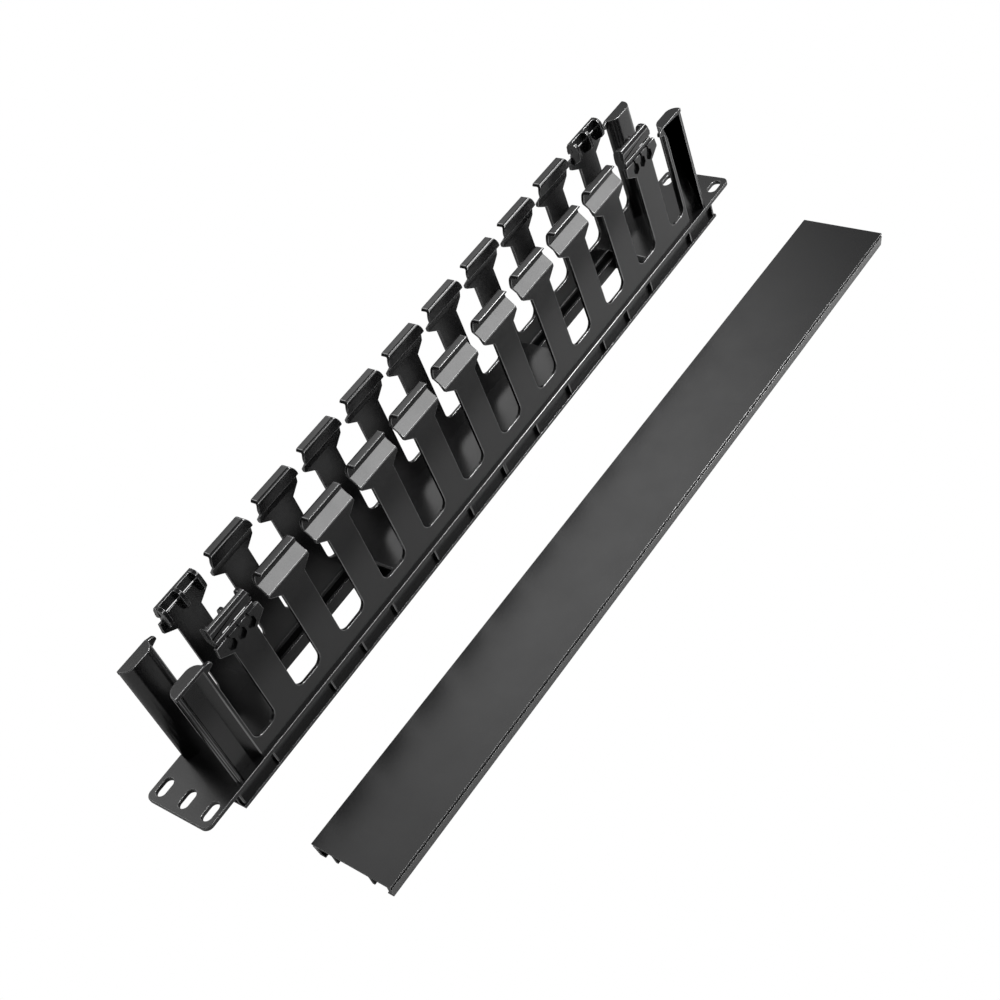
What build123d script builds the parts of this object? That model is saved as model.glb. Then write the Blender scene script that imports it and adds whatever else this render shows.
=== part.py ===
from build123d import *
import os

os.makedirs("parts", exist_ok=True)

# Frame: X along the rack's width, Y up the rack, Z out of the rack.
# Z = 0 is the rear face of the mounting panel, X = Y = 0 is its centre.

# mounting panel with an ear at each end
panel_len = 482.6
panel_w = 43.0
panel_t = 2.5
ear_len = 20.8
ear_corner_r = 4.0
slot_inset = 8.75
slot_spacing_x = panel_len - 2 * slot_inset
slot_spacing_y = 15.875
slot_len = 10.4
slot_w = 5.6

# side walls
wall_inset = 1.7
wall_t = 2.0
wall_out = panel_w / 2 - wall_inset
wall_in = wall_out - wall_t
face = panel_t

# rear frame below the panel
frame_half_len = panel_len / 2 - ear_len
frame_depth = 8.9
floor_z = -frame_depth
web_t = 1.2
flange_t = 1.6
flange_in = wall_in - 4.3
flange_out = panel_w / 2 + 0.5
flange_lip_t = 1.5
flange_lip_h = 7.4
rib_t = 2.0
rib_setback = 1.5
rib_foot_t = 2.0
rib_foot_len = 5.5
gusset_t = 1.2
gusset_out = panel_w / 2 - 0.2
gusset_shares = [0.1406, 0.2857, 0.449, 0.5646, 0.678, 0.8798]
gusset_end_inset = 1.5

# end posts and the gap beside them
post_end_inset = 4.5
post_w = 19.6
post_end_x = frame_half_len - post_end_inset
post_slot_x = post_end_x - post_w
end_gap = 15.1

# fingers: equal pitch between the two latch fingers of a row
fingers_per_row = 11
stem_half = 8.2
latch_x = post_slot_x - end_gap - stem_half
pitch = 2 * latch_x / (fingers_per_row - 1)
half_pitch = pitch / 2
end_gap_mid = post_slot_x - end_gap / 2
gap_floor = 9.8
gap_corner_r = 5.0
stem_h = 58.0

# floor openings of the panel
opening_len = 83.0
opening_far = latch_x - 8.1
opening_near = opening_far - opening_len
opening_half_w = wall_in - 0.6

# fingers with a hooked head, heights above the panel's front face
head_half = stem_half + 6.1
head_top_half = head_half - 2.7
head_side_low = stem_h + 4.4
head_side_high = stem_h + 12.0
head_top = stem_h + 18.35
head_round_r = 2.0
wedge_low = stem_h + 6.4
wedge_high = stem_h + 11.6
groove_y = wall_out - 4.6
groove_top = stem_h + 17.0
groove_corner_r = 0.8
lip_y = wall_out - 0.6
throat_low = stem_h + 4.6
throat_mid = stem_h + 8.8
throat_mid_y = wall_in - 1.35
throat_high = stem_h + 11.6
throat_y = wall_out - 6.4

# latch fingers: lower bar
latch_foot = stem_h - 0.4
latch_low_half = stem_half + 7.1
latch_low = stem_h + 3.9
latch_ledge_half = latch_low_half - 0.7
latch_ledge = stem_h + 9.5
latch_inner = stem_h + 9.0
latch_inner_low = stem_h + 1.2
pocket_x = 6.65
pocket_half = 2.5
pocket_low = stem_h + 0.8
pocket_side_low = stem_h + 2.6
pocket_side_high = stem_h + 6.0
pocket_top = stem_h + 7.6
pocket_slit_w = 1.3
pocket_depth = 1.6

# latch fingers: upper bar, its ribs and the wall between them
bar_low = stem_h + 13.6
bar_top = stem_h + 19.6
bar_half_low = latch_low_half - 1.8
bar_half_top = bar_half_low - 0.8
bar_y_out = wall_out - 0.8
bar_y_in = wall_out - 3.8
bar_slope_h = 2.0
bar_slope_y = 1.2
bar_rib_y = wall_out - 6.9
bar_rib_w = 3.0
bar_rib_x = bar_half_low - 2.3
bar_rib_round = 2.6
bar_slit = 1.0
bar_wall_y = bar_y_in + 1.5

# end posts
post_top = stem_h + 9.1
post_front_y = wall_out - 6.95
post_corner_r = 6.0
post_back_y = wall_out - 4.1
post_hollow_near = post_slot_x + 2.0
post_hollow_far = post_end_x - 3.7
post_back_near = post_slot_x + 6.2
post_back_far = post_end_x - 4.5
post_cap_t = 2.4
post_groove_x = post_end_x - 2.9
post_groove_w = 0.8
post_groove_depth = 0.5
post_step_w = 1.0
post_step_depth = 0.6
nub_len = 3.9
nub_x = post_slot_x - nub_len
nub_top = post_top - 0.2
nub_shoulder = post_top - 1.1
nub_low = post_top - 3.4
nub_foot = post_top - 4.9
nub_slope = 0.9

# clip-on cover, lying beside the base
cover_len = 2 * frame_half_len + 2.0
cover_w = panel_w + 4.8
cover_t = 1.4
cover_h = 8.4
cover_yaw = -1.43
cover_x = -2.6
cover_y = -100.3
cover_lip_t = 1.0
cover_groove = 0.9
cover_groove_h = 0.9
outer_leg_inset = 1.5
outer_leg_t = 1.7
outer_barb = 1.8
outer_barb_h = 1.2
inner_leg_inset = 12.0
inner_leg_t = 1.5
inner_leg_h = 7.0


def at_face(points):
    return [(x, z + face) for x, z in points]


def save(piece, name):
    piece.label = name
    export_step(piece, f"parts/{name}.step")


# mounting panel: a plate with ears, rack slots and floor openings
with BuildPart() as mounting_panel:
    with BuildSketch():
        RectangleRounded(panel_len, panel_w, ear_corner_r)
        with GridLocations(slot_spacing_x, slot_spacing_y, 2, 3):
            SlotOverall(slot_len, slot_w, mode=Mode.SUBTRACT)
        with GridLocations(opening_far + opening_near, 1, 2, 1):
            Rectangle(opening_len, 2 * opening_half_w, mode=Mode.SUBTRACT)
    extrude(amount=panel_t)
save(mounting_panel.part, "mounting_panel")


# one rail of the rear frame: web, bottom flange, its inner lip and outer gussets
def rail(side):
    flange_plane = Plane.XY.offset(floor_z)
    gusset_x = [gusset_t / 2]
    gusset_x += [share * frame_half_len for share in gusset_shares]
    gusset_x += [frame_half_len - gusset_end_inset]
    with BuildPart() as piece:
        with BuildSketch(flange_plane):
            with Locations((0, side * (wall_in + web_t / 2))):
                Rectangle(2 * frame_half_len, web_t)
        extrude(amount=frame_depth)
        with BuildSketch(flange_plane):
            with Locations((0, side * (flange_in + flange_out) / 2)):
                Rectangle(2 * frame_half_len, flange_out - flange_in)
        extrude(amount=flange_t)
        with BuildSketch(flange_plane):
            with Locations((0, side * (flange_in + flange_lip_t / 2))):
                Rectangle(2 * frame_half_len, flange_lip_t)
        extrude(amount=flange_lip_h)
        for x in gusset_x:
            with BuildSketch(flange_plane):
                with Locations((0, side * (wall_in + gusset_out) / 2)):
                    with GridLocations(2 * x, 1, 2, 1):
                        Rectangle(gusset_t, gusset_out - wall_in)
            extrude(amount=frame_depth)
    return piece.part


save(rail(-1), "near_rail")
save(rail(1), "far_rail")


# cross rib between the rails, with a foot along X where it borders an opening
def cross_rib(x, foot_toward):
    foot_x = x + foot_toward * (rib_foot_len - rib_t) / 2
    foot_len = rib_t + abs(foot_toward) * (rib_foot_len - rib_t)
    with BuildPart() as piece:
        with BuildSketch(Plane.XY.offset(floor_z)):
            with Locations((foot_x, 0)):
                Rectangle(foot_len, 2 * flange_in)
        extrude(amount=rib_foot_t)
        with BuildSketch(Plane.XY.offset(floor_z)):
            with Locations((x, 0)):
                Rectangle(rib_t, 2 * flange_in)
        extrude(amount=frame_depth)
        with BuildSketch(Plane.XY.offset(floor_z + flange_lip_h)):
            with Locations((x, 0)):
                Rectangle(rib_t, 2 * wall_in)
        extrude(amount=frame_depth - flange_lip_h)
    return piece.part


near_rib = opening_near - rib_setback - rib_t / 2
far_rib = opening_far + rib_setback + rib_t / 2
end_rib = frame_half_len - rib_t / 2
rib_places = [(-end_rib, 0), (-far_rib, 1), (-near_rib, -1)]
rib_places += [(near_rib, 1), (far_rib, -1), (end_rib, 0)]
for n, (x, foot_toward) in enumerate(rib_places, start=1):
    save(cross_rib(x, foot_toward), f"cross_rib_{n}")


# half of a finger's foot outline, towards +X or -X
def foot_side(toward, foot_half):
    floor = gap_floor + face
    bend = (toward * (stem_half + gap_corner_r), floor)
    Polyline((0, face), (toward * foot_half, face), (toward * foot_half, floor), bend)
    TangentArc(bend, (toward * stem_half, floor + gap_corner_r), tangent=(-toward, 0))


def upright(x):
    return Plane((x, 0, 0), x_dir=(1, 0, 0), z_dir=(0, -1, 0))


# bent plate section of a hooked finger, on one side of the panel
def hooked_section(side):
    back = Polyline(
        *at_face([
            (side * throat_y, head_top - head_round_r),
            (side * throat_y, throat_high),
            (side * throat_mid_y, throat_mid),
            (side * wall_in, throat_low),
            (side * wall_in, 0),
            (side * wall_out, 0),
            (side * wall_out, wedge_low),
            (side * groove_y, wedge_high),
            (side * groove_y, groove_top - groove_corner_r),
        ])
    )
    bend = (side * (groove_y + groove_corner_r), groove_top + face)
    TangentArc(back @ 1, bend, tangent=(0, 1))
    lip = Polyline(
        bend,
        *at_face([
            (side * lip_y, groove_top),
            (side * lip_y, head_top),
            (side * (throat_y + head_round_r), head_top),
        ])
    )
    TangentArc(lip @ 1, back @ 0, tangent=(-side, 0))


# half of a hooked finger's head outline above the stem
def hooked_side(toward):
    edge = Polyline(
        (toward * stem_half, gap_floor + face + gap_corner_r),
        *at_face([
            (toward * stem_half, stem_h),
            (toward * head_half, head_side_low),
            (toward * head_half, head_side_high),
        ])
    )
    shoulder = (toward * head_top_half, head_top + face)
    TangentArc(edge @ 1, shoulder, tangent=(0, 1))
    Line(shoulder, (0, head_top + face))


# finger with a hooked head, standing on its stretch of the side wall
def hooked_finger(x, side):
    with BuildPart() as piece:
        with BuildSketch(Plane.YZ.offset(x)):
            with BuildLine():
                hooked_section(side)
            make_face()
        extrude(amount=half_pitch, both=True)
        with BuildSketch(upright(x)):
            with BuildLine():
                for toward in (1, -1):
                    foot_side(toward, half_pitch)
                    hooked_side(toward)
            make_face()
        extrude(amount=flange_out, both=True, mode=Mode.INTERSECT)
    return piece.part


for n in range(1, fingers_per_row - 1):
    save(hooked_finger(n * pitch - latch_x, -1), f"near_finger_{n}")
    save(hooked_finger(n * pitch - latch_x, 1), f"far_finger_{n}")


# stem and lower bar section of a latch finger
def latch_section(side):
    Polyline(
        *at_face([
            (side * wall_in, 0),
            (side * wall_out, 0),
            (side * wall_out, latch_ledge),
            (side * throat_y, latch_ledge),
            (side * throat_y, latch_inner),
            (side * wall_in, latch_inner_low),
        ]),
        close=True,
    )


# half of a latch finger's outline, from the stem to the lower bar's ledge
def latch_side(toward):
    Polyline(
        (toward * stem_half, gap_floor + face + gap_corner_r),
        *at_face([
            (toward * stem_half, latch_foot),
            (toward * latch_low_half, latch_low),
            (toward * latch_ledge_half, latch_ledge),
            (0, latch_ledge),
        ])
    )


# pocket of the lower bar: a tall hexagon with a slit up to the ledge
def latch_pocket():
    Polygon(
        *at_face([
            (0, pocket_low),
            (pocket_half, pocket_side_low),
            (pocket_half, pocket_side_high),
            (pocket_slit_w / 2, pocket_top),
            (pocket_slit_w / 2, latch_ledge),
            (-pocket_slit_w / 2, latch_ledge),
            (-pocket_slit_w / 2, pocket_top),
            (-pocket_half, pocket_side_high),
            (-pocket_half, pocket_side_low),
        ]),
        align=None,
    )


# rib behind the upper bar, rounded at its top
def bar_rib_section(side):
    foot = Polyline(
        *at_face([
            (side * (bar_rib_y + bar_rib_round), bar_top),
            (side * (bar_y_in + wall_t / 4), bar_top),
            (side * (bar_y_in + wall_t / 4), latch_inner),
            (side * bar_rib_y, latch_inner),
            (side * bar_rib_y, bar_top - bar_rib_round),
        ])
    )
    TangentArc(foot @ 1, foot @ 0, tangent=(0, 1))


# latch finger: stem, pocketed lower bar, three ribs and an upper bar
def latch_finger(end, side):
    x = end * latch_x
    wall_top = bar_low - bar_slit
    with BuildPart() as piece:
        with BuildSketch(Plane.YZ.offset(x)):
            with BuildLine():
                latch_section(side)
            make_face()
        extrude(amount=pitch, both=True)
        with BuildSketch(upright(x)):
            with BuildLine():
                foot_side(end, end_gap_mid - latch_x)
                foot_side(-end, half_pitch)
                latch_side(1)
                latch_side(-1)
            make_face()
        extrude(amount=flange_out, both=True, mode=Mode.INTERSECT)
        with BuildSketch(upright(x).offset(-side * (wall_out - pocket_depth))):
            for n in (-1, 0, 1):
                with Locations((n * pocket_x, 0)):
                    latch_pocket()
        extrude(amount=-side * (pocket_depth + wall_t), mode=Mode.SUBTRACT)
        with BuildSketch(upright(x).offset(-side * throat_y)):
            with Locations((0, face + (latch_inner + wall_top) / 2)):
                Rectangle(2 * bar_rib_x, wall_top - latch_inner)
        extrude(amount=-side * (bar_wall_y - throat_y))
        with BuildSketch(upright(x).offset(-side * bar_y_in)):
            Polygon(
                *at_face([
                    (-bar_half_low, bar_low),
                    (bar_half_low, bar_low),
                    (bar_half_top, bar_top),
                    (-bar_half_top, bar_top),
                ]),
                align=None,
            )
        extrude(amount=-side * (bar_y_out - bar_y_in))
        with BuildSketch(Plane.YZ.offset(x)):
            Polygon(
                *at_face([
                    (side * bar_y_out, bar_top - bar_slope_h),
                    (side * bar_y_out, bar_top),
                    (side * (bar_y_out - bar_slope_y), bar_top),
                ]),
                align=None,
            )
        extrude(amount=pitch, both=True, mode=Mode.SUBTRACT)
        for n in (-1, 0, 1):
            with BuildSketch(Plane.YZ.offset(x + n * bar_rib_x)):
                with BuildLine():
                    bar_rib_section(side)
                make_face()
            extrude(amount=bar_rib_w / 2, both=True)
    return piece.part


for end, end_name in ((-1, "left"), (1, "right")):
    save(latch_finger(end, -1), f"near_latch_finger_{end_name}")
    save(latch_finger(end, 1), f"far_latch_finger_{end_name}")


# D-shaped plan of an end post
def post_plan(end, side):
    rim = Polyline(
        (end * post_slot_x, side * (post_front_y + post_corner_r)),
        (end * post_slot_x, side * wall_out),
        (end * post_end_x, side * wall_out),
        (end * post_end_x, side * (post_front_y + post_corner_r)),
    )
    slot_bend = (end * (post_slot_x + post_corner_r), side * post_front_y)
    end_bend = (end * (post_end_x - post_corner_r), side * post_front_y)
    front = Line(slot_bend, end_bend)
    TangentArc(front @ 0, rim @ 0, tangent=(-end, 0))
    TangentArc(front @ 1, rim @ 1, tangent=(end, 0))


# low wall beside a post, with the rounded corner of the end gap
def post_foot(end):
    floor = gap_floor + face
    inside = end * (post_slot_x + wall_t)
    foot = Polyline(
        (end * (post_slot_x - gap_corner_r), floor),
        (end * end_gap_mid, floor),
        (end * end_gap_mid, face),
        (inside, face),
        (inside, floor + gap_corner_r),
        (end * post_slot_x, floor + gap_corner_r),
    )
    TangentArc(foot @ 0, foot @ 1, tangent=(end, 0))


# nub that points from the top of a post into the end gap
def post_nub(end):
    Polyline(
        *at_face([
            (end * (post_slot_x + wall_t), nub_top),
            (end * post_slot_x, nub_top),
            (end * (nub_x + nub_slope), nub_shoulder),
            (end * nub_x, nub_shoulder - nub_slope),
            (end * nub_x, nub_low),
            (end * post_slot_x, nub_foot),
            (end * (post_slot_x + wall_t), nub_foot),
        ]),
        close=True,
    )


# end post: D-shaped column, hollow towards the outside, closed by a cap
def end_post(end, side):
    outer_plane = upright(0).offset(-side * wall_in)
    with BuildPart() as piece:
        with BuildSketch(Plane.XY.offset(face)):
            with BuildLine():
                post_plan(end, side)
            make_face()
        extrude(amount=post_top)
        with BuildSketch(outer_plane):
            with BuildLine():
                post_foot(end)
            make_face()
            with BuildLine():
                post_nub(end)
            make_face()
        extrude(amount=-side * wall_t)
        with BuildSketch(Plane.XY.offset(face)):
            Polygon(
                (end * post_hollow_near, side * wall_out),
                (end * post_back_near, side * post_back_y),
                (end * post_back_far, side * post_back_y),
                (end * post_hollow_far, side * wall_out),
                align=None,
            )
            with Locations((end * post_groove_x, side * wall_out)):
                Rectangle(post_groove_w, 2 * post_groove_depth)
            with Locations((end * post_end_x, side * wall_out)):
                Rectangle(2 * post_step_w, 2 * post_step_depth)
        extrude(amount=post_top - post_cap_t, mode=Mode.SUBTRACT)
    return piece.part


for end, end_name in ((-1, "left"), (1, "right")):
    save(end_post(end, -1), f"near_end_post_{end_name}")
    save(end_post(end, 1), f"far_end_post_{end_name}")


# half of the cover's section: plate, grooved edge, hooked outer leg, inner leg
def cover_side(toward):
    edge = cover_w / 2
    under = cover_h - cover_t
    lip = cover_h - cover_lip_t
    tip = edge - outer_leg_inset
    inner = edge - inner_leg_inset
    points = [
        (0, cover_h),
        (edge, cover_h),
        (edge, lip),
        (edge - cover_groove, lip),
        (edge - cover_groove, lip - cover_groove_h),
        (edge, lip - cover_groove_h),
        (tip, 0),
        (tip - outer_leg_t - outer_barb, 0),
        (tip - outer_leg_t - outer_barb, outer_barb_h / 2),
        (tip - outer_leg_t, 2 * outer_barb_h),
        (edge - cover_groove - outer_leg_t, under),
        (inner, under),
        (inner, cover_h - inner_leg_h),
        (inner - inner_leg_t, cover_h - inner_leg_h),
        (inner - inner_leg_t, under),
        (0, under),
    ]
    Polyline(*[(toward * x, z) for x, z in points])


# clip-on cover, lying on its legs beside the base
with BuildPart() as cover:
    yaw_x = Vector(1, 0, 0).rotate(Axis.Z, cover_yaw)
    across = Vector(0, 1, 0).rotate(Axis.Z, cover_yaw)
    with BuildSketch(Plane((cover_x, cover_y, floor_z), x_dir=across, z_dir=yaw_x)):
        with BuildLine():
            cover_side(1)
            cover_side(-1)
        make_face()
    extrude(amount=cover_len / 2, both=True)
save(cover.part, "cover")
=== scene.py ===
import math

import bmesh
import bpy
from mathutils import Matrix, Vector

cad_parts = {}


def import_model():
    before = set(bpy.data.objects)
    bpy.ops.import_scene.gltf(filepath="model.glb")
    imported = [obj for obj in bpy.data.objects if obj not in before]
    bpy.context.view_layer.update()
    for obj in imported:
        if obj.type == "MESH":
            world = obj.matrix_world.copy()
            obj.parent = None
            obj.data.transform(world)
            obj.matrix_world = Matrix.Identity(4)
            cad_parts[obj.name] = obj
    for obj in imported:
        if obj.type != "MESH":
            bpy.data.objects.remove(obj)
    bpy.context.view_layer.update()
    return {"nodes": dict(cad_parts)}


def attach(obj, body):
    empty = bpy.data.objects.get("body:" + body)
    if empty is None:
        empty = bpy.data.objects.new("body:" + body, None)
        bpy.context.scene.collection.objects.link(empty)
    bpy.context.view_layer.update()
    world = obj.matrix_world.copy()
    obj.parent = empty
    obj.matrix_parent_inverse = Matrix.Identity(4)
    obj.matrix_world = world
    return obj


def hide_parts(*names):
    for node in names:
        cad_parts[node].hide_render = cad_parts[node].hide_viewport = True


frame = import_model()
nodes = frame["nodes"]
scene = bpy.context.scene
scene.view_settings.view_transform = "Standard"
MM = 0.001
WHITE = (1.0, 1.0, 1.0, 1.0)

# Camera, fitted to the photo. Its place is in millimetres in the row frame.
CAMERA_AT = (-376.8, -490.8, 535.8)
CAMERA_RIGHT = (0.5532, -0.7783, -0.2970)
CAMERA_FORWARD = (0.4499, 0.5792, -0.6798)
LENS_MM = 55.72
SENSOR_MM = 36.0
CLIP_END = 20.0

# Plastic: colour, roughness and refractive index of the faces and of the polished edges; the
# edges' lighter colour is a painted highlight.
FACE_COLOUR = (0.0045, 0.0045, 0.0048)
EDGE_HIGHLIGHT_COLOUR = (0.018, 0.018, 0.019)
BASE_ROUGHNESS = 0.24
COVER_ROUGHNESS = 0.22
EDGE_ROUGHNESS = 0.2
FACE_IOR = 1.5
EDGE_IOR = 2.5

# Its unevenness: scale, detail and roughness of each noise, and how far each one goes.
COLOUR_NOISE = (9.0, 3.0, 0.5)
COLOUR_PARTS = (0.9, 1.12)
GLOSS_NOISE = (55.0, 4.0, 0.6)
GLOSS_BAND = (0.3, 0.7)
GLOSS_DRIFT = 0.02
GRAIN_NOISE = (2600.0, 2.0, 0.6)
GRAIN_STRENGTH = 0.03
GRAIN_DEPTH = 0.0002

# Sockets of a Mix node that mixes colours: its two inputs and its output.
MIX_FIRST, MIX_SECOND, MIX_RESULT = 6, 7, 2

# Meshes: points this close are one point, and triangles this flat to each other are one face.
# The panel, with its holes, keeps its triangles.
SAME_POINT = 1e-6
FLAT_ANGLE = math.radians(0.5)
PANEL = "mounting_panel"

# Rounding of the sharp edges. Those wholly below FRAME_TOP take a smaller part of it.
BASE_EDGE = 0.4 * MM
COVER_EDGE = 0.5 * MM
EDGE_SEGMENTS = 2
EDGE_ANGLE = math.radians(28)
FRAME_TOP = -0.5 * MM
FRAME_PART = 0.25

# Latch fingers, in millimetres: places and widths along the row, and outlines of (distance
# from the middle plane, height over the panel's front face). LATCH_OPEN is cut away, which
# leaves the slit open, and then the ribs, the plate's step and the upper bar's lip are added.
FACE = 2.5
LATCH_X = 173.1
LATCH_OPEN = [
    (10.0, 59.0), (17.8, 59.0), (17.8, 71.4), (16.0, 72.2), (16.0, 79.0), (10.0, 79.0),
]
LATCH_OPEN_W = 32.0
LATCH_RIB = [
    (16.5, 77.6), (14.9, 77.6), (13.4, 77.1), (12.4, 76.1), (11.8, 74.6), (11.5, 72.0),
    (11.4, 69.2), (11.8, 67.6), (12.9, 66.3), (17.9, 63.2), (18.1, 63.2), (18.1, 72.6),
    (16.5, 73.0),
]
LATCH_RIBS_AT = (-11.6, 0.0, 11.6)
LATCH_RIB_W = 2.3
LATCH_STEP = [(17.8, 67.0), (18.8, 67.3), (18.8, 69.6), (17.8, 69.6)]
LATCH_STEP_W = 25.4
LATCH_LIP = [(16.0, 72.2), (19.0, 70.7), (19.0, 72.8), (16.2, 72.8)]
LATCH_LIP_W = 26.6

# The box round the three pockets of a latch finger, whose edges stay sharp.
POCKETS_HALF = 9.4
POCKETS_LOW = 58.5
POCKETS_HIGH = 67.2
POCKET_FLOOR = 18.1

# Floor: its height and half its side, its colour, and what it adds in reflections.
FLOOR_Z = -8.9 * MM
FLOOR_HALF = 6.0
FLOOR_COLOUR = (0.55, 0.55, 0.55, 1.0)
FLOOR_LIFT = 0.15

# Room light: radiance of the room, and of the soft bright regions above and behind, each
# with its direction, the angles in degrees of its edge and core, and what it adds.
ROOM_LIGHT = 0.12
SKY_REGIONS = [
    ((0.45, 0.555, 0.70), 17.5, 2.0, 2.56),
    ((0.10, 0.56, 0.82), 11.5, 4.0, 1.25),
]

# Lamps: name, place, target and size in metres, and radiance.
LAMPS = [
    ("key", (0.64, -0.90, 0.755), (0.64, 0.0, 0.10), (1.4, 0.30), 9.5),
    ("far_floor", (0.6, -0.3, 0.8), (0.25, -0.12, 0.0), (0.3, 0.3), 27.0),
    ("back", (-0.16, 0.89, 0.80), (-0.22, 0.0, 0.0), (0.4, 0.35), 2.1),
]


class Tree:
    """The node tree of a material or a world, emptied and filled with shader nodes."""

    def __init__(self, owner):
        owner.use_nodes = True
        self.tree = owner.node_tree
        self.tree.nodes.clear()

    def add(self, kind, inputs=None, **attributes):
        """A new node; each input is given a value or is linked to a socket."""
        node = self.tree.nodes.new(kind)
        for key, value in attributes.items():
            setattr(node, key, value)
        for key, value in (inputs or {}).items():
            socket = node.inputs[key]
            if isinstance(value, bpy.types.NodeSocket):
                self.tree.links.new(value, socket)
            else:
                socket.default_value = value
        return node

    def noise(self, place, scale, detail, roughness):
        """The value of a noise texture at a place."""
        inputs = {"Vector": place, "Scale": scale, "Detail": detail, "Roughness": roughness}
        return self.add("ShaderNodeTexNoise", inputs).outputs["Fac"]

    def mix(self, factor, first, second):
        """The first shader where the factor is 0, the second where it is 1."""
        return self.add("ShaderNodeMixShader", {0: factor, 1: first, 2: second}).outputs[0]

    def output(self, kind, shader, white_kind):
        """Ends the tree with the shader, and with plain white to the camera."""
        path = self.add("ShaderNodeLightPath")
        white = self.add(white_kind, {"Color": WHITE, "Strength": 1.0})
        seen = self.mix(path.outputs["Is Camera Ray"], shader, white.outputs[0])
        self.add(kind, {"Surface": seen})


def plastic(name, colour, roughness, index=FACE_IOR):
    """Smooth moulded plastic: faint colour drift, uneven gloss and a very fine grain."""
    material = bpy.data.materials.new(name)
    t = Tree(material)
    place = t.add("ShaderNodeTexCoord").outputs["Object"]
    low, high = ([c * part for c in colour] + [1.0] for part in COLOUR_PARTS)
    tint = t.add(
        "ShaderNodeMix",
        {0: t.noise(place, *COLOUR_NOISE), MIX_FIRST: low, MIX_SECOND: high},
        data_type="RGBA",
    )
    gloss = t.add(
        "ShaderNodeMapRange",
        {
            "Value": t.noise(place, *GLOSS_NOISE),
            "From Min": GLOSS_BAND[0],
            "From Max": GLOSS_BAND[1],
            "To Min": roughness - GLOSS_DRIFT,
            "To Max": roughness + GLOSS_DRIFT,
        },
    )
    grain = t.add(
        "ShaderNodeBump",
        {
            "Strength": GRAIN_STRENGTH,
            "Distance": GRAIN_DEPTH,
            "Height": t.noise(place, *GRAIN_NOISE),
        },
    )
    shader = t.add(
        "ShaderNodeBsdfPrincipled",
        {
            "Base Color": tint.outputs[MIX_RESULT],
            "Roughness": gloss.outputs["Result"],
            "Normal": grain.outputs["Normal"],
            "IOR": index,
        },
    )
    t.add("ShaderNodeOutputMaterial", {"Surface": shader.outputs["BSDF"]})
    return material


def tidy_mesh(mesh, dissolve):
    """Merges doubled points, dissolves flat triangles and shades the round stretches smooth."""
    work = bmesh.new()
    work.from_mesh(mesh)
    bmesh.ops.remove_doubles(work, verts=work.verts, dist=SAME_POINT)
    if dissolve:
        bmesh.ops.dissolve_limit(
            work, angle_limit=FLAT_ANGLE, verts=work.verts, edges=work.edges
        )
    for face in work.faces:
        face.smooth = True
    work.to_mesh(mesh)
    work.free()
    own_normals = mesh.attributes.get("custom_normal")
    if own_normals:
        mesh.attributes.remove(own_normals)
    mesh.set_sharp_from_angle(angle=EDGE_ANGLE)


def copy_of(name):
    """A tidy copy of a CAD node's mesh as an object of its own."""
    mesh = nodes[name].data.copy()
    tidy_mesh(mesh, name != PANEL)
    obj = bpy.data.objects.new(name + "_copy", mesh)
    scene.collection.objects.link(obj)
    return obj


def prism(outline, centre, width, side):
    """A closed bar along X with the given outline on one side, as an object."""
    count = len(outline)
    ends = (centre - width / 2, centre + width / 2)
    points = [(x * MM, side * y * MM, (FACE + z) * MM) for x in ends for y, z in outline]
    faces = [tuple(range(count)), tuple(range(count, 2 * count))]
    faces += [(i, (i + 1) % count, count + (i + 1) % count, count + i) for i in range(count)]
    mesh = bpy.data.meshes.new("prism")
    mesh.from_pydata(points, [], faces)
    work = bmesh.new()
    work.from_mesh(mesh)
    bmesh.ops.recalc_face_normals(work, faces=work.faces)
    work.to_mesh(mesh)
    work.free()
    return bpy.data.objects.new("prism", mesh)


def combine(shell, tools, operation):
    """Unites the shell with the tools, or cuts them from it, and removes the tools."""
    group = bpy.data.collections.new(shell.name + "_tools")
    scene.collection.children.link(group)
    for obj in tools:
        group.objects.link(obj)
    step = shell.modifiers.new("step", "BOOLEAN")
    step.operation = operation
    step.solver = "EXACT"
    step.operand_type = "COLLECTION"
    step.collection = group
    bpy.context.view_layer.update()
    result = shell.evaluated_get(bpy.context.evaluated_depsgraph_get())
    shell.data = bpy.data.meshes.new_from_object(result)
    shell.modifiers.clear()
    for obj in tools:
        bpy.data.objects.remove(obj)
    bpy.data.collections.remove(group)


def opened_latch(finger, end, side):
    """Opens the slit of a latch finger and returns the bars that join its two halves."""
    x = end * LATCH_X
    combine(finger, [prism(LATCH_OPEN, x, LATCH_OPEN_W, side)], "DIFFERENCE")
    bars = [prism(LATCH_RIB, x + at, LATCH_RIB_W, side) for at in LATCH_RIBS_AT]
    bars.append(prism(LATCH_STEP, x, LATCH_STEP_W, side))
    bars.append(prism(LATCH_LIP, x, LATCH_LIP_W, side))
    return bars


def in_pockets(point):
    """Whether a point lies on the pockets of a latch finger."""
    x, y, height = abs(point.x) / MM, abs(point.y) / MM, point.z / MM - FACE
    beside = abs(x - LATCH_X) < POCKETS_HALF and y > POCKET_FLOOR
    return beside and POCKETS_LOW < height < POCKETS_HIGH


def weigh_edges(mesh):
    """Gives the sharp outward edges a bevel weight; the frame below the panel is crisper."""
    work = bmesh.new()
    work.from_mesh(mesh)
    layers = work.edges.layers.float
    weight = layers.get("bevel_weight_edge") or layers.new("bevel_weight_edge")
    for edge in work.edges:
        outward = len(edge.link_faces) == 2 and edge.is_convex
        if outward and edge.calc_face_angle() > EDGE_ANGLE:
            if not any(in_pockets(vert.co) for vert in edge.verts):
                low = max(vert.co.z for vert in edge.verts) < FRAME_TOP
                edge[weight] = FRAME_PART if low else 1.0
    work.to_mesh(mesh)
    work.free()


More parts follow.
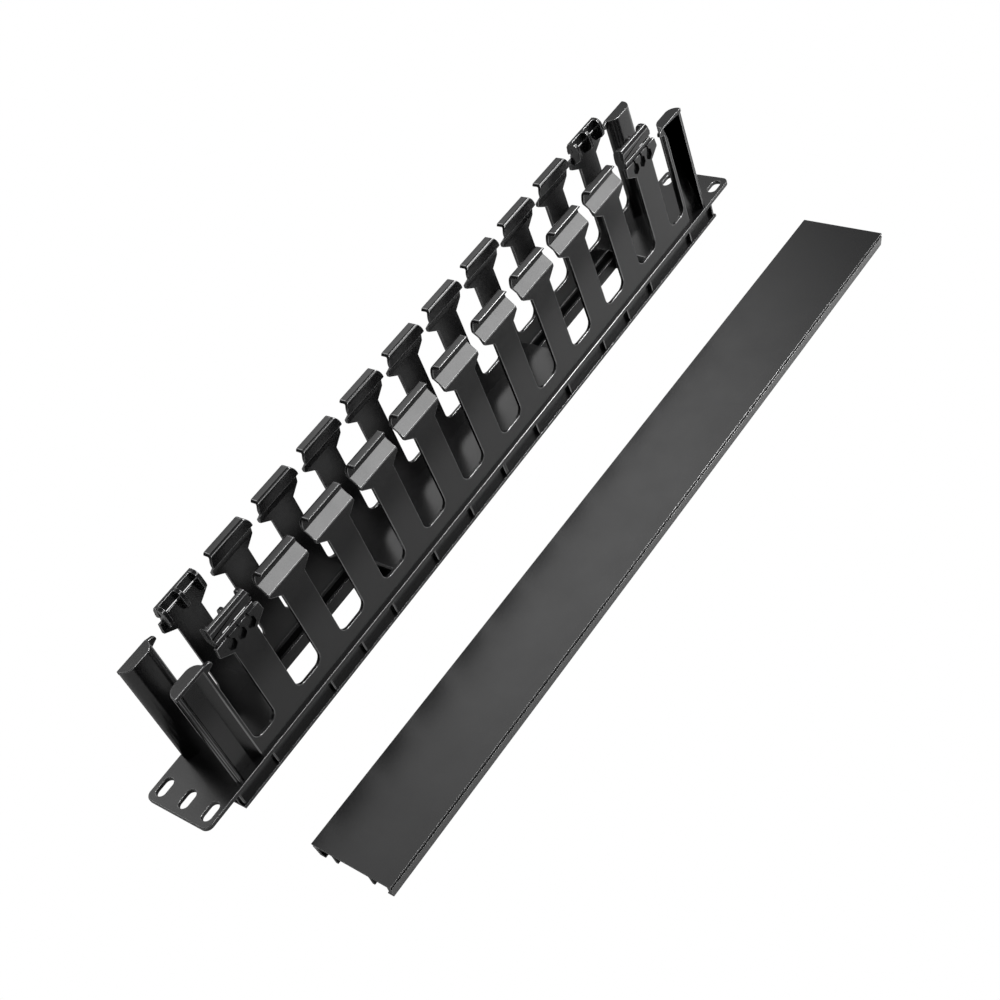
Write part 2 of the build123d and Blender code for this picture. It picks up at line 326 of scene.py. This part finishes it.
def rounded(obj, width, polish_and_highlight):
    """Rounds the sharp outward edges, as a mould does, in a glossier material whose lighter
    colour is a painted highlight.
    """
    obj.data.materials.append(polish_and_highlight)
    weigh_edges(obj.data)
    edge = obj.modifiers.new("edge", "BEVEL")
    edge.width = width
    edge.segments = EDGE_SEGMENTS
    edge.limit_method = "WEIGHT"
    edge.use_clamp_overlap = False
    edge.loop_slide = False
    edge.harden_normals = True
    edge.miter_outer = "MITER_ARC"
    edge.material = len(obj.data.materials) - 1


def moulding(name, members, material, polish_and_highlight, edge_width):
    """One closed shell from nodes that meet face to face, as the moulding really is."""
    shell = copy_of(members[0])
    shell.name = name
    tools = []
    for member in members[1:]:
        tools.append(copy_of(member))
        if "latch" in member:
            end = -1 if "left" in member else 1
            side = -1 if "near" in member else 1
            tools += opened_latch(tools[-1], end, side)
    if tools:
        combine(shell, tools, "UNION")
    shell.data.materials.clear()
    shell.data.materials.append(material)
    shell.data.set_sharp_from_angle(angle=EDGE_ANGLE)
    rounded(shell, edge_width, polish_and_highlight)
    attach(shell, "root")
    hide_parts(*members)


def floor():
    """A pale floor that takes shadows, a little lighter in reflections."""
    material = bpy.data.materials.new("floor")
    t = Tree(material)
    path = t.add("ShaderNodeLightPath")
    diffuse = t.add("ShaderNodeBsdfDiffuse", {"Color": FLOOR_COLOUR}).outputs[0]
    lift = t.add("ShaderNodeEmission", {"Color": WHITE, "Strength": FLOOR_LIFT}).outputs[0]
    reflected = t.add("ShaderNodeAddShader", {0: diffuse, 1: lift}).outputs[0]
    shader = t.mix(path.outputs["Is Glossy Ray"], diffuse, reflected)
    t.output("ShaderNodeOutputMaterial", shader, "ShaderNodeEmission")
    mesh = bpy.data.meshes.new("floor")
    signs = ((-1, -1), (1, -1), (1, 1), (-1, 1))
    corners = [(x * FLOOR_HALF, y * FLOOR_HALF, FLOOR_Z) for x, y in signs]
    mesh.from_pydata(corners, [], [(0, 1, 2, 3)])
    mesh.materials.append(material)
    obj = bpy.data.objects.new("floor", mesh)
    scene.collection.objects.link(obj)


def world():
    """A dim room with soft bright regions."""
    studio = bpy.data.worlds.new("studio")
    scene.world = studio
    t = Tree(studio)
    place = t.add("ShaderNodeTexCoord").outputs["Generated"]
    radiance = ROOM_LIGHT
    for axis, edge, core, added in SKY_REGIONS:
        along = t.add(
            "ShaderNodeVectorMath",
            {0: place, 1: Vector(axis).normalized()},
            operation="DOT_PRODUCT",
        )
        spread = t.add(
            "ShaderNodeMapRange",
            {
                "Value": along.outputs["Value"],
                "From Min": math.cos(math.radians(edge)),
                "From Max": math.cos(math.radians(core)),
                "To Min": 0.0,
                "To Max": added,
            },
            interpolation_type="SMOOTHSTEP",
        )
        total = t.add("ShaderNodeMath", {0: spread.outputs["Result"], 1: radiance})
        radiance = total.outputs[0]
    room = t.add("ShaderNodeBackground", {"Strength": radiance})
    t.output("ShaderNodeOutputWorld", room.outputs[0], "ShaderNodeBackground")


def camera():
    """The photo's camera, with its axes set square to each other."""
    data = bpy.data.cameras.new("camera")
    data.lens = LENS_MM
    data.sensor_width = SENSOR_MM
    data.clip_end = CLIP_END
    obj = bpy.data.objects.new("camera", data)
    right = Vector(CAMERA_RIGHT).normalized()
    back = -Vector(CAMERA_FORWARD).normalized()
    up = back.cross(right).normalized()
    right = up.cross(back).normalized()
    turn = Matrix((right, up, back)).transposed().to_4x4()
    obj.matrix_world = Matrix.Translation(Vector(CAMERA_AT) * MM) @ turn
    scene.collection.objects.link(obj)
    scene.camera = obj


def softbox(name, at, target, size, radiance):
    """A rectangular lamp that is equally bright all over."""
    data = bpy.data.lights.new(name, "AREA")
    data.shape = "RECTANGLE"
    data.size, data.size_y = size
    data.energy = radiance * math.pi * size[0] * size[1]
    obj = bpy.data.objects.new(name, data)
    back = Vector(at) - Vector(target)
    turn = back.to_track_quat("Z", "Y").to_matrix().to_4x4()
    obj.matrix_world = Matrix.Translation(Vector(at)) @ turn
    scene.collection.objects.link(obj)


base_plastic = plastic("base_plastic", FACE_COLOUR, BASE_ROUGHNESS)
cover_plastic = plastic("cover_plastic", FACE_COLOUR, COVER_ROUGHNESS)
# The edge material is glossier than the faces, and its lighter colour is a painted highlight
# along the rounded edges.
edge_highlight_plastic = plastic("edge_highlight_plastic", EDGE_HIGHLIGHT_COLOUR, EDGE_ROUGHNESS, EDGE_IOR)

base = [PANEL] + sorted(name for name in nodes if name not in (PANEL, "cover"))
moulding("base_moulding", base, base_plastic, edge_highlight_plastic, BASE_EDGE)
moulding("cover_moulding", ["cover"], cover_plastic, edge_highlight_plastic, COVER_EDGE)

floor()
world()
camera()
for lamp in LAMPS:
    softbox(*lamp)
